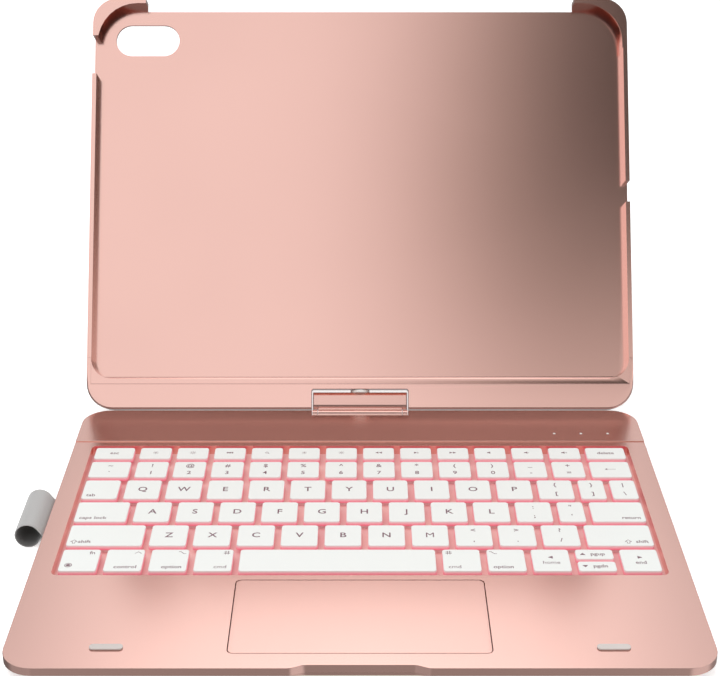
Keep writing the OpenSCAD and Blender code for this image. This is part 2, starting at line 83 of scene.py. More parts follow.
# The studio's brightness by the direction a ray leaves in: X to the right, Y away from the camera, Z up. Each
# EDGE is where a fade starts and ends along its axis, and each TONE a brightness. The flag is a dark panel on
# the camera's side, right of the middle, that leans to the right as it rises.
FLAG_LEAN, FLAG_EDGE, FLAG_END_EDGE = -0.25, (-0.19, -0.03), (0.30, 0.60)
FLAG_TONE, PAST_FLAG_TONE = 0.02, 0.95
FLAG_BACK_EDGE = (-0.55, -0.35)
LOW_EDGE, LOW_REACH_EDGE, LOW_TONE, LOW_REACH = (0.565, 0.645), (-0.23, -0.03), 0.88, 0.9
CEILING_EDGE, OVERHEAD_EDGE, CEILING_TONE, OVERHEAD_TONE = (0.88, 0.985), (-0.01, 0.09), 0.15, 0.75
BELOW_EDGE, BELOW_TONE = (-0.12, 0.06), 0.40
REAR_EDGE, REAR_SIDE_EDGE, REAR_TONE, REAR_SIDE_TONE = (-0.1, 0.3), (0.11, 0.22), 1.46, 0.72
REAR_LOW_EDGE, REAR_LOW_TONE = (0.46, 0.56), 0.6
HORIZON_EDGE, UNDER_HORIZON_EDGE, HORIZON_TONE = (0.24, 0.50), (-0.30, -0.12), 0.2
BACKDROP_TONE = 1.15
# The studio's colour by the brightness of its front: warmer in the dark.
WARM_SHADE = [(0.05, (1, 0.87, 0.74)), (0.45, (1, 0.94, 0.87)), (0.95, (1, 1, 1))]


def make_camera():
    data = bpy.data.cameras.new("camera")
    data.lens = CAMERA_LENS
    data.sensor_width = 36.0
    data.clip_start = 0.01
    camera = bpy.data.objects.new("camera", data)
    camera.location = CAMERA_PLACE
    camera.rotation_euler = (math.radians(90 - CAMERA_PITCH), 0, 0)
    scene.collection.objects.link(camera)
    scene.camera = camera


class Sky:
    """The world's shader nodes, with a ray's direction split into its axes."""

    def __init__(self, tree):
        self.new, self.link = tree.nodes.new, tree.links.new
        self.place = self.new("ShaderNodeTexCoord").outputs["Generated"]
        axes = self.new("ShaderNodeSeparateXYZ")
        self.link(self.place, axes.inputs[0])
        self.x, self.y, self.z = axes.outputs

    def fade(self, value, edge, low, high):
        """Goes smoothly from low to high between the two ends of edge."""
        node = self.new("ShaderNodeMapRange")
        node.interpolation_type = "SMOOTHSTEP"
        for socket, number in zip(("From Min", "From Max", "To Min", "To Max"), (*edge, low, high)):
            node.inputs[socket].default_value = number
        self.link(value, node.inputs["Value"])
        return node.outputs["Result"]

    def maths(self, operation, *values):
        node = self.new("ShaderNodeMath")
        node.operation = operation
        for value, socket in zip(values, node.inputs):
            self.link(value, socket)
        return node.outputs[0]

    def along(self, direction):
        node = self.new("ShaderNodeVectorMath")
        node.operation = "DOT_PRODUCT"
        node.inputs[1].default_value = direction
        self.link(self.place, node.inputs[0])
        return node.outputs["Value"]

    def background(self, strength):
        node = self.new("ShaderNodeBackground")
        node.inputs["Color"].default_value = (1, 1, 1, 1)
        node.inputs["Strength"].default_value = strength
        return node


def front_tone(sky):
    """Bright but for the flag on the camera's side; low down, light is added from its left edge rightward."""
    across = sky.along((1.0, 0.0, FLAG_LEAN))
    tone = sky.maths("MAXIMUM", sky.fade(across, FLAG_EDGE, 1.0, FLAG_TONE),
                     sky.fade(across, FLAG_END_EDGE, FLAG_TONE, PAST_FLAG_TONE))
    low = sky.fade(sky.z, LOW_EDGE, LOW_TONE, 0.0)
    reach = sky.fade(across, LOW_REACH_EDGE, 0.0, LOW_REACH)
    tone = sky.maths("ADD", tone, sky.maths("MULTIPLY", low, reach))
    return sky.maths("MAXIMUM", tone, sky.fade(sky.y, FLAG_BACK_EDGE, 0.0, 1.0))


def height_tone(sky):
    """Dimmer overhead, most on the camera's side, and darker below the horizon."""
    overhead = sky.fade(sky.y, OVERHEAD_EDGE, CEILING_TONE, OVERHEAD_TONE)
    ceiling = sky.maths("ADD", sky.fade(sky.z, CEILING_EDGE, 1.0, 0.0),
                        sky.maths("MULTIPLY", overhead, sky.fade(sky.z, CEILING_EDGE, 0.0, 1.0)))
    return sky.maths("MULTIPLY", ceiling, sky.fade(sky.z, BELOW_EDGE, BELOW_TONE, 1.0))


def depth_tone(sky):
    """A dim band along the horizon on the camera's side; behind, bright in the middle and dimmer low down."""
    horizon = sky.maths("MAXIMUM", sky.fade(sky.z, HORIZON_EDGE, HORIZON_TONE, 1.0),
                        sky.fade(sky.z, UNDER_HORIZON_EDGE, 1.0, 0.0))
    front = sky.maths("MULTIPLY", sky.fade(sky.y, REAR_EDGE, 1.0, 0.0), horizon)
    rear = sky.maths("MULTIPLY", sky.fade(sky.y, REAR_EDGE, 0.0, 1.0),
                     sky.fade(sky.z, REAR_LOW_EDGE, REAR_LOW_TONE, 1.0))
    sides = sky.fade(sky.maths("ABSOLUTE", sky.x), REAR_SIDE_EDGE, REAR_TONE, REAR_SIDE_TONE)
    return sky.maths("ADD", front, sky.maths("MULTIPLY", sides, rear))


def make_world():
    """The studio that the object mirrors, with a plain white backdrop for the camera itself."""
    world = bpy.data.worlds.new("studio")
    scene.world = world
    world.use_nodes = True
    world.node_tree.nodes.clear()
    sky = Sky(world.node_tree)
    front = front_tone(sky)
    tone = sky.maths("MULTIPLY", sky.maths("MULTIPLY", front, height_tone(sky)), depth_tone(sky))
    studio, backdrop = sky.background(1.0), sky.background(BACKDROP_TONE)
    sky.link(set_ramp(sky.new("ShaderNodeValToRGB"), front, WARM_SHADE, sky.link), studio.inputs["Color"])
    sky.link(tone, studio.inputs["Strength"])
    mix = sky.new("ShaderNodeMixShader")
    sky.link(sky.new("ShaderNodeLightPath").outputs["Is Camera Ray"], mix.inputs["Fac"])
    sky.link(studio.outputs[0], mix.inputs[1])
    sky.link(backdrop.outputs[0], mix.inputs[2])
    sky.link(mix.outputs[0], sky.new("ShaderNodeOutputWorld").inputs[0])


def make_overhead_light():
    """A soft light over the left shoulder, for what isn't metal: it doesn't show in reflections."""
    data = bpy.data.lights.new("overhead", "AREA")
    data.shape = "RECTANGLE"
    data.size, data.size_y = LIGHT_SIZE
    data.energy = LIGHT_WATTS
    light = bpy.data.objects.new("overhead", data)
    light.location = LIGHT_PLACE
    light.visible_glossy = False
    light.rotation_euler = (-LIGHT_PLACE).to_track_quat("-Z", "Y").to_euler()
    scene.collection.objects.link(light)


def make_floor():
    """A pale floor with a little light of its own, so that its far parts meet the backdrop."""
    corners = [(x * FLOOR_HALF, y * FLOOR_HALF, 0) for x, y in ((-1, -1), (1, -1), (1, 1), (-1, 1))]
    mesh = bpy.data.meshes.new("studio_floor")
    mesh.from_pydata(corners, [], [(0, 1, 2, 3)])
    floor = bpy.data.objects.new("studio_floor", mesh)
    scene.collection.objects.link(floor)
    paint = bpy.data.materials.new("studio_floor")
    paint.use_nodes = True
    shader = paint.node_tree.nodes["Principled BSDF"]
    shader.inputs["Base Color"].default_value = (0.95, 0.95, 0.95, 1)
    shader.inputs["Roughness"].default_value = 0.9
    shader.inputs["Emission Color"].default_value = (1, 1, 1, 1)
    shader.inputs["Emission Strength"].default_value = FLOOR_GLOW
    mesh.materials.append(paint)
    floor.visible_glossy = False


scene.view_settings.view_transform = "Standard"
make_camera()
make_world()
make_overhead_light()
make_floor()


# ---- Materials -----------------------------------------------------------------------------------

ROSE = (0.90, 0.565, 0.50)
LOOP_GREY = (0.52, 0.515, 0.51)
# How dark the painted shade inside the pencil loop's bore is, as a share of the band's colour.
BORE_SHADE = 0.38


class Paint:
    """One material: a Principled shader with noise for its colour, roughness and bump."""

    def __init__(self, name):
        self.material = bpy.data.materials.new(name)
        self.material.use_nodes = True
        self.tree = self.material.node_tree
        self.shader = self.tree.nodes["Principled BSDF"]
        self.place = self.tree.nodes.new("ShaderNodeTexCoord").outputs["Object"]

    def set(self, **values):
        for socket, value in values.items():
            self.shader.inputs[socket.replace("_", " ")].default_value = value
        return self

    def noise(self, scale, detail=3.0, stretch=None):
        noise = self.tree.nodes.new("ShaderNodeTexNoise")
        noise.inputs["Scale"].default_value = scale
        noise.inputs["Detail"].default_value = detail
        source = self.place
        if stretch:
            mapping = self.tree.nodes.new("ShaderNodeMapping")
            mapping.inputs["Scale"].default_value = stretch
            self.tree.links.new(self.place, mapping.inputs["Vector"])
            source = mapping.outputs["Vector"]
        self.tree.links.new(source, noise.inputs["Vector"])
        return noise.outputs["Fac"]

    def ramp(self, value, stops):
        return set_ramp(self.tree.nodes.new("ShaderNodeValToRGB"), value, stops, self.tree.links.new)

    def to(self, value, socket):
        self.tree.links.new(value, self.shader.inputs[socket.replace("_", " ")])
        return self

    def span(self, value, low, high, start=0.0, end=1.0):
        """Goes evenly from low to high as value goes from start to end."""
        node = self.tree.nodes.new("ShaderNodeMapRange")
        for socket, number in zip(("From Min", "From Max", "To Min", "To Max"), (start, end, low, high)):
            node.inputs[socket].default_value = number
        self.tree.links.new(value, node.inputs["Value"])
        return node.outputs["Result"]

    def bump(self, value, strength, distance):
        node = self.tree.nodes.new("ShaderNodeBump")
        node.inputs["Strength"].default_value = strength
        node.inputs["Distance"].default_value = distance
        self.tree.links.new(value, node.inputs["Height"])
        self.tree.links.new(node.outputs["Normal"], self.shader.inputs["Normal"])
        return self


def shade(colour, factor):
    return tuple(min(1.0, c * factor) for c in colour)


def satin_metal(name, colour, roughness=0.17, grain=5200.0, bump=0.06):
    """Bead-blasted, anodised metal: a very fine grain and a slow drift in tone."""
    paint = Paint(name).set(Metallic=1.0)
    drift = paint.noise(9.0, 2.0)
    paint.to(paint.ramp(drift, [(0.3, shade(colour, 0.97)), (0.7, shade(colour, 1.02))]), "Base Color")
    fine = paint.noise(grain, 2.0)
    paint.to(paint.span(fine, roughness - 0.03, roughness + 0.03), "Roughness")
    return paint.bump(fine, bump, 0.02 * MM).material


def plain(name, colour, roughness, grain, bump, metallic=0.0, drift=0.05):
    """Moulded or coated stuff: a fine grain and a slow drift in tone."""
    paint = Paint(name).set(Metallic=metallic)
    slow = paint.noise(40.0, 2.0)
    tones = [(0.3, shade(colour, 1 - drift)), (0.7, shade(colour, 1 + drift))]
    paint.to(paint.ramp(slow, tones), "Base Color")
    fine = paint.noise(grain, 3.0)
    paint.to(paint.span(fine, max(0.02, roughness - 0.05), roughness + 0.05), "Roughness")
    return paint.bump(fine, bump, 0.03 * MM).material


def brushed(name, colour, roughness=0.3):
    """Bare metal with fine lines along X."""
    paint = Paint(name).set(Metallic=1.0)
    lines = paint.noise(900.0, 4.0, (1.0, 14.0, 14.0))
    paint.to(paint.ramp(lines, [(0.3, shade(colour, 0.86)), (0.7, shade(colour, 1.05))]), "Base Color")
    paint.to(paint.span(lines, roughness - 0.08, roughness + 0.08), "Roughness")
    return paint.bump(lines, 0.12, 0.02 * MM).material


def key_plastic(name, top_z, bottom_z):
    """White caps with the backlight's glow painted on: painted light turns their walls red towards the foot,
    and an emission makes the lower edge glow.
    """
    paint = Paint(name).set(Roughness=0.42, IOR=1.46, Emission_Strength=0.8)
    axes = paint.tree.nodes.new("ShaderNodeSeparateXYZ")
    paint.tree.links.new(paint.place, axes.inputs[0])
    up = paint.span(axes.outputs["Z"], 0.0, 1.0, bottom_z, top_z)
    # Painted light: the red, rose and pink towards the foot of each cap are the backlight's glow, not the
    # caps' colour; the emission is a painted glow too.
    red, rose, pink, white = (0.60, 0.13, 0.20), (0.84, 0.38, 0.44), (0.93, 0.76, 0.77), (0.90, 0.925, 0.90)
    lit, dimmer, faint = (0.40, 0.05, 0.09), (0.24, 0.07, 0.09), (0.03, 0.03, 0.03)
    paint.to(paint.ramp(up, [(0.0, red), (0.35, rose), (0.72, pink), (0.92, white)]), "Base Color")
    paint.to(paint.ramp(up, [(0.0, lit), (0.5, dimmer), (0.9, faint)]), "Emission Color")
    return paint.bump(paint.noise(2600.0, 2.0), 0.05, 0.02 * MM).material


def glow(name):
    """The plate under the keys, lit from below: salmon with redder clouds."""
    paint = Paint(name).set(Roughness=0.5, Emission_Strength=0.27)
    cloud = paint.noise(60.0, 3.0)
    paint.to(paint.ramp(cloud, [(0.3, (0.62, 0.40, 0.39)), (0.7, (0.70, 0.50, 0.46))]), "Base Color")
    paint.to(paint.ramp(cloud, [(0.3, (0.66, 0.26, 0.28)), (0.7, (0.72, 0.38, 0.34))]), "Emission Color")
    return paint.bump(paint.noise(1800.0, 2.0), 0.1, 0.03 * MM).material


def elastic_weave(name, colour, middle, radius):
    """Fine woven elastic, ribs across and threads along it in millimetres; painted shade darkens it inside
    the bore.
    """
    paint = Paint(name).set(Roughness=0.8, Sheen_Weight=0.3, Sheen_Roughness=0.5)
    band = paint.tree.nodes.new("ShaderNodeTexCoord").outputs["UV"]
    waves = []
    for axis, scale in (("X", 0.62), ("Y", 0.80)):
        wave = paint.tree.nodes.new("ShaderNodeTexWave")
        wave.bands_direction = axis
        wave.inputs["Scale"].default_value = scale
        wave.inputs["Distortion"].default_value = 0.5
        wave.inputs["Detail"].default_value = 1.0
        paint.tree.links.new(band, wave.inputs["Vector"])
        waves.append(wave.outputs["Fac"])
    both = paint.tree.nodes.new("ShaderNodeMath")
    both.operation = "MULTIPLY_ADD"
    both.inputs[1].default_value = 0.6
    paint.tree.links.new(waves[0], both.inputs[0])
    paint.tree.links.new(waves[1], both.inputs[2])
    weave = both.outputs[0]
    out = paint.tree.nodes.new("ShaderNodeVectorMath")
    out.operation = "DISTANCE"
    flat = paint.tree.nodes.new("ShaderNodeVectorMath")
    flat.operation = "MULTIPLY"
    flat.inputs[1].default_value = (1, 0, 1)
    paint.tree.links.new(paint.place, flat.inputs[0])
    paint.tree.links.new(flat.outputs[0], out.inputs[0])
    out.inputs[1].default_value = (middle[0], 0, middle[1])
    # Painted shade: the band is darkened to BORE_SHADE where it lies within radius of the bore's middle.
    bore_painted_shade = paint.span(out.outputs["Value"], BORE_SHADE, 1.0, radius - 0.1 * MM, radius)
    tone = paint.tree.nodes.new("ShaderNodeVectorMath")
    tone.operation = "SCALE"
    threads = paint.ramp(weave, [(0.2, shade(colour, 0.80)), (1.0, shade(colour, 1.05))])
    paint.tree.links.new(threads, tone.inputs[0])
    paint.tree.links.new(bore_painted_shade, tone.inputs["Scale"])
    paint.to(tone.outputs[0], "Base Color")
    return paint.bump(weave, 0.35, 0.08 * MM).material


made = {
    "rose_metal": satin_metal("rose_metal", ROSE),
    "underside_metal": satin_metal("underside_metal", shade(ROSE, 0.9), 0.32),
    "hinge_metal": satin_metal("hinge_metal", shade(ROSE, 0.97), 0.22),
    "trackpad_face": satin_metal("trackpad_face", shade(ROSE, 1.03), 0.24, 4000.0, 0.03),
    "glow_plate": glow("glow_plate"),
    "grey_rubber": plain("grey_rubber", (0.70, 0.64, 0.61), 0.6, 1500.0, 0.2),
    "dark_rubber": plain("dark_rubber", (0.045, 0.043, 0.045), 0.75, 1500.0, 0.3),
    "steel": brushed("steel", (0.80, 0.80, 0.80)),
    "brass": brushed("brass", (0.72, 0.52, 0.25)),
    "dark_plastic": plain("dark_plastic", (0.02, 0.02, 0.022), 0.5, 2000.0, 0.15),
    "clear_plastic": plain("clear_plastic", (0.85, 0.80, 0.77), 0.25, 800.0, 0.05),
    "membrane": plain("membrane", (0.30, 0.31, 0.33), 0.45, 700.0, 0.1),
    "circuit_board": plain("circuit_board", (0.03, 0.13, 0.08), 0.35, 1200.0, 0.2, drift=0.2),
    "foil": plain("foil", (0.62, 0.63, 0.65), 0.35, 160.0, 0.3, metallic=0.9),
    "ribbon": plain("ribbon", (0.62, 0.30, 0.08), 0.3, 600.0, 0.1),
}
loop_low, loop_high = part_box("pencil_loop")
loop_radius = (loop_high[2] - loop_low[2]) / 2
loop_middle = (loop_low[0] + loop_radius, loop_low[2] + loop_radius)
made["loop_fabric"] = elastic_weave("loop_fabric", LOOP_GREY, loop_middle, loop_radius - 0.3 * MM)
key_low, key_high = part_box("key_space")
made["key_white"] = key_plastic("key_white", key_high[2], key_low[2])
LEGEND = plain("legend_ink", (0.21, 0.11, 0.14), 0.5, 1500.0, 0.05)
DECK = satin_metal("deck_metal", ROSE, 0.22)
NYLON = plain("nylon", (0.95, 0.93, 0.90), 0.5, 1500.0, 0.05)
THREAD = plain("thread", (0.60, 0.60, 0.61), 0.7, 3000.0, 0.3)


def paint_cad_nodes():
    for name, obj in nodes.items():
        for i in range(len(obj.material_slots)):
            obj.material_slots[i].material = NYLON if name == "swivel_washers" else made[node_slot[name]]


# ---- Mesh helpers --------------------------------------------------------------------------------

WELD = 0.002 * MM
FLAT = math.radians(0.4)
WIDE_STEPS = 4


def lean_on_large_faces(mesh, closeness):
    """Corner normals weighted by face area, so flats stay flat and only the rolled edges turn."""
    around = [[] for _ in mesh.vertices]
    for polygon in mesh.polygons:
        for vertex in polygon.vertices:
            around[vertex].append((polygon.normal.copy(), polygon.area))
    normals = []
    for polygon in mesh.polygons:
        own = polygon.normal
        for vertex in polygon.vertices:
            total = Vector((0, 0, 0))
            for normal, area in around[vertex]:
                if normal.dot(own) >= closeness:
                    total += normal * area
            normals.append(total.normalized() if total.length > 0 else own.copy())
    mesh.normals_split_custom_set(normals)


def object_from(name, bm, material, smooth=50.0):
    mesh = bpy.data.meshes.new(name)
    bm.to_mesh(mesh)
    bm.free()
    mesh.materials.append(material)
    for polygon in mesh.polygons:
        polygon.use_smooth = True
        polygon.material_index = 0
    mesh.set_sharp_from_angle(angle=math.radians(smooth))
    lean_on_large_faces(mesh, math.cos(math.radians(smooth)))
    obj = bpy.data.objects.new(name, mesh)
    scene.collection.objects.link(obj)
    return obj


def stands_for(piece, node):
    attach(piece, node_body[node])
    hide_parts(node)


def outward_edge(edge):
    return len(edge.link_faces) == 2 and edge.is_convex and edge.calc_face_angle(0) > math.radians(30)


def refined(node, width, steps=2, wide=None, smooth=50.0, paint=None):
    """The CAD node's own shape, welded, with its outward edges rounded off as a finished part's are.

    wide is a test for the edges that get a broader round first, and that round's width. Edges sharper than
    smooth degrees stay sharp. paint stands in for the material of the node's slot."""
    bm = bmesh.new()
    bm.from_mesh(nodes[node].data)
    bmesh.ops.remove_doubles(bm, verts=bm.verts, dist=WELD)
    flat = [e for e in bm.edges if len(e.link_faces) == 2 and e.calc_face_angle(0) < FLAT]
    bmesh.ops.dissolve_edges(bm, edges=flat, use_verts=False, use_face_split=False)
    bmesh.ops.recalc_face_normals(bm, faces=bm.faces)
    rounds = [(lambda e: True, width, steps)]
    if wide:
        rounds.insert(0, (*wide, WIDE_STEPS))
    for test, offset, segments in rounds:
        edges = [e for e in bm.edges if outward_edge(e) and test(e)]
        bmesh.ops.bevel(bm, geom=edges, offset=offset, offset_type="OFFSET", segments=segments, profile=0.5,
                        affect="EDGES", clamp_overlap=True)
    bmesh.ops.triangulate(bm, faces=[f for f in bm.faces if len(f.verts) > 4])
    stands_for(object_from(node + "_finish", bm, paint or made[node_slot[node]], smooth), node)


joints = {joint["name"]: joint for joint in frame["record"]["behaviour"]["joints"]}
LEAN = math.radians(60)
UP_THE_SHELL = Vector((0, math.cos(LEAN), math.sin(LEAN)))
OUT_OF_SHELL = Vector((0, -math.sin(LEAN), math.cos(LEAN)))
SHELL_FOOT = Vector(joints["hinge_tilt"]["pos_m"]) + 3.2 * MM * UP_THE_SHELL - 2.3 * MM * OUT_OF_SHELL
# In millimetres: how far up the shell the pocket starts and the rim ends, and lines just inside the shell's
# sides and just outside the hinge notch.
POCKET_FOOT, RIM_END, SHELL_SIDE, NOTCH_SIDE = 11.6, 23.9, 126.9, 23.6
# In millimetres: lines just inside the deck's outline, the squares round its rounded corners, and a height
# below its top edges.
DECK_SIDE, DECK_FRONT, DECK_REAR = 126.45, -99.1, 98.25
CORNER_SIDE, CORNER_FRONT, CORNER_REAR = 114, -89, 86
DECK_TOP = 7.5


def in_shell(point):
    """Where a point lies on the shell, in millimetres: across, up from its foot and out of its face."""
    away = (point - SHELL_FOOT) / MM
    return away.x, away.dot(UP_THE_SHELL), away.dot(OUT_OF_SHELL)


def bar_rim(edge):
    """Outer edges of the bar's front face, but not those of the hinge notch or of the pocket."""
    places = [in_shell(vert.co) for vert in edge.verts]
    for x, up, out in places:
        if abs(out) > 0.05 or (up > POCKET_FOOT and abs(x) < SHELL_SIDE) or up > RIM_END:
            return False
    return any(abs(x) > NOTCH_SIDE for x, up, out in places)


def deck_rim(edge):
    """The deck's outline along its top."""
    for vert in edge.verts:
        x, y, z = vert.co / MM
        inside = abs(x) < DECK_SIDE and DECK_FRONT < y < DECK_REAR
        corner = abs(x) > CORNER_SIDE and not CORNER_FRONT <= y <= CORNER_REAR
        if z < DECK_TOP or (inside and not corner):
            return False
    return True


# ---- Keys ----------------------------------------------------------------------------------------

def rounded_points(w, d, r, steps=5):
    points = []
    for cx, cy, start in ((w / 2 - r, d / 2 - r, 0), (r - w / 2, d / 2 - r, 90),
                          (r - w / 2, r - d / 2, 180), (w / 2 - r, r - d / 2, 270)):
        for i in range(steps + 1):
            a = math.radians(start + 90 * i / steps)
            points.append((cx + r * math.cos(a), cy + r * math.sin(a)))
    return points


def add_cap(bm, low, high):
    """One key cap: slightly drafted walls, a rolled top edge and a shallow hollow underneath."""
    corner, inner, draft, roll, wall, roof = (n * MM for n in (1.3, 0.5, 0.12, 0.3, 0.8, 1.1))
    w, d = high[0] - low[0], high[1] - low[1]
    cx, cy = (low[0] + high[0]) / 2, (low[1] + high[1]) / 2
    rings = [(wall, high[2] - roof, inner), (wall, low[2], inner), (0, low[2], corner)]
    for i in range(5):
        a = math.radians(90 * i / 4)
        inset = draft + roll * (1 - math.cos(a))
        rings.append((inset, high[2] - roll + roll * math.sin(a), corner - inset * 0.5))
    loops = []
    for inset, z, r in rings:
        outline = rounded_points(w - 2 * inset, d - 2 * inset, r)
        loops.append([bm.verts.new((cx + x, cy + y, z)) for x, y in outline])
    bm.faces.new(list(reversed(loops[0])))
    for a, b in zip(loops, loops[1:]):
        for i in range(len(a)):
            j = (i + 1) % len(a)
            bm.faces.new((a[i], a[j], b[j], b[i]))
    bm.faces.new(loops[-1])


def solids_of(node):
    """The low and high corner of each separate solid in a node, from left to right."""
    bm = bmesh.new()
    bm.from_mesh(nodes[node].data)
    bmesh.ops.remove_doubles(bm, verts=bm.verts, dist=WELD)
    left, found = set(bm.verts), []
    while left:
        group, todo = [], [left.pop()]
        while todo:
            vert = todo.pop()
            group.append(vert.co)
            for edge in vert.link_edges:
                other = edge.other_vert(vert)
                if other in left:
                    left.remove(other)
                    todo.append(other)
        axes = list(zip(*group))
        found.append(([min(axis) for axis in axes], [max(axis) for axis in axes]))
    bm.free()
    return sorted(found)


def add_print(bm, text, x, y, z, size, align="CENTER"):
    """Printed characters as thin closed letters lying on the surface."""
    curve = bpy.data.curves.new("print", "FONT")
    curve.body = text
    curve.size = size
    curve.align_x = align
    curve.align_y = "CENTER"
    curve.extrude = 0.01 * MM
    curve.resolution_u = 3
    # Thickening folds the outline of an M over itself.
    curve.offset = 0.0 if "m" in text.lower() else 0.012 * size
    holder = bpy.data.objects.new("print", curve)
    scene.collection.objects.link(holder)
    bpy.context.view_layer.update()
    mesh = holder.evaluated_get(bpy.context.evaluated_depsgraph_get()).to_mesh()
    place = Matrix.Translation((x, y, z))
    start = len(bm.verts)
    bm.from_mesh(mesh)
    bm.verts.ensure_lookup_table()
    bmesh.ops.transform(bm, matrix=place, verts=bm.verts[start:])
    holder.to_mesh_clear()
    bpy.data.objects.remove(holder)
    bpy.data.curves.remove(curve)


def add_shape(bm, points, z, x=0.0, y=0.0):
    """A thin flat sign at x, y and z, with an outline in units of SIGN about its own centre."""
    half = 0.01 * MM
    rings = []
    for level in (z - half, z + half):
        rings.append([bm.verts.new((x + px * SIGN, y + py * SIGN, level)) for px, py in points])
    bm.faces.new(list(reversed(rings[0])))
    bm.faces.new(rings[1])
    for i in range(len(points)):
        j = (i + 1) % len(points)
        bm.faces.new((rings[0][i], rings[0][j], rings[1][j], rings[1][i]))


def disc(r, sides=14):
    return [(r * math.cos(math.tau * i / sides), r * math.sin(math.tau * i / sides)) for i in range(sides)]


def bar(x0, y0, x1, y1):
    return [(x0, y0), (x1, y0), (x1, y1), (x0, y1)]


def ring(bm, r, thick, z, x, y, sides=16):
    for i in range(sides):
        a, b = math.tau * i / sides, math.tau * (i + 0.96) / sides
        add_shape(bm, [(r * math.cos(a), r * math.sin(a)), (r * math.cos(b), r * math.sin(b)),
                       ((r - thick) * math.cos(b), (r - thick) * math.sin(b)),
                       ((r - thick) * math.cos(a), (r - thick) * math.sin(a))], z, x, y)


def sign_sun(bm, x, y, z, r):
    ring(bm, r, 0.16, z, x, y)
    for i in range(8):
        a = math.tau * i / 8
        c, s = math.cos(a), math.sin(a)
        near, far, half = r + 0.2, r + 0.5, 0.07
        sides = ((near, half), (far, half), (far, -half), (near, -half))
        add_shape(bm, [(at * c + side * s, at * s - side * c) for at, side in sides], z, x, y)


def sign_triangles(bm, x, y, z, way, count, stop):
    for i in range(count):
        at = (i - (count - 1) / 2) * 1.1
        triangle = [(at - 0.5 * way, -0.55), (at + 0.5 * way, 0), (at - 0.5 * way, 0.55)]
        add_shape(bm, triangle[::way], z, x, y)
    if stop:
        at = way * (count * 0.55 + 0.15)
        add_shape(bm, bar(at - 0.09, -0.55, at + 0.09, 0.55), z, x, y)


def sign_speaker(bm, x, y, z, waves):
    add_shape(bm, bar(-0.9, -0.25, -0.5, 0.25), z, x, y)
    add_shape(bm, [(-0.5, -0.25), (0.1, -0.65), (0.1, 0.65), (-0.5, 0.25)], z, x, y)
    for i in range(waves):
        add_shape(bm, bar(0.35 + 0.35 * i, -0.3 - 0.12 * i, 0.47 + 0.35 * i, 0.3 + 0.12 * i), z, x, y)


def sign_grid(bm, x, y, z):
    for i in range(3):
        add_shape(bm, bar(-1.0 + 0.72 * i, -0.4, -0.45 + 0.72 * i, 0.4), z, x, y)


def sign_lens(bm, x, y, z):
    ring(bm, 0.5, 0.15, z, x - 0.1 * MM, y + 0.1 * MM)
    add_shape(bm, [(0.2, -0.3), (0.3, -0.2), (0.75, -0.65), (0.65, -0.75)], z, x, y)


def sign_arrow_left(bm, x, y, z):
    tip, neck, tail = -1.7, -0.9, 1.7
    add_shape(bm, [(neck, 0.5), (neck, -0.5), (tip, 0)], z, x, y)
    add_shape(bm, bar(neck, -0.08, tail, 0.08), z, x, y)


FUNCTION_SIGNS = [
    lambda bm, x, y, z: sign_sun(bm, x, y, z, 0.35), lambda bm, x, y, z: sign_sun(bm, x, y, z, 0.5),
    sign_grid, sign_lens,
    lambda bm, x, y, z: sign_sun(bm, x, y, z, 0.25), lambda bm, x, y, z: sign_sun(bm, x, y, z, 0.4),
    lambda bm, x, y, z: sign_triangles(bm, x, y, z, -1, 2, False),
    lambda bm, x, y, z: sign_triangles(bm, x, y, z, 1, 1, True),
    lambda bm, x, y, z: sign_triangles(bm, x, y, z, 1, 2, False),
    lambda bm, x, y, z: sign_speaker(bm, x, y, z, 0), lambda bm, x, y, z: sign_speaker(bm, x, y, z, 1),
    lambda bm, x, y, z: sign_speaker(bm, x, y, z, 2),
]
PAIRS = {"keys_number_row": ["~`", "!1", "@2", "#3", "$4", "%5", "^6", "&7", "*8", "(9", ")0", "_-", "+="],
         "keys_upper_letters": list("QWERTYUIOP") + ["{[", "}]", "|\\"],
         "keys_home_letters": list("ASDFGHJKL") + [":;", "\"'"],
         "keys_lower_letters": list("ZXCVBNM") + ["<,", ">.", "?/"]}
WORDS = {"key_tab": ("tab", "left"), "key_caps_lock": ("caps lock", "left"),
         "key_return": ("return", "right"),
         "key_left_shift": ("shift", "left"), "key_right_shift": ("shift", "right"),
         "key_control": ("control", "right"), "key_left_option": ("option", "right"),
         "key_left_command": ("cmd", "right"), "key_right_command": ("cmd", "left"),
         "key_right_option": ("option", "left")}
LETTER, SMALL, WORD, SIGN = 5.0 * MM, 3.8 * MM, 3.0 * MM, 1.4 * MM


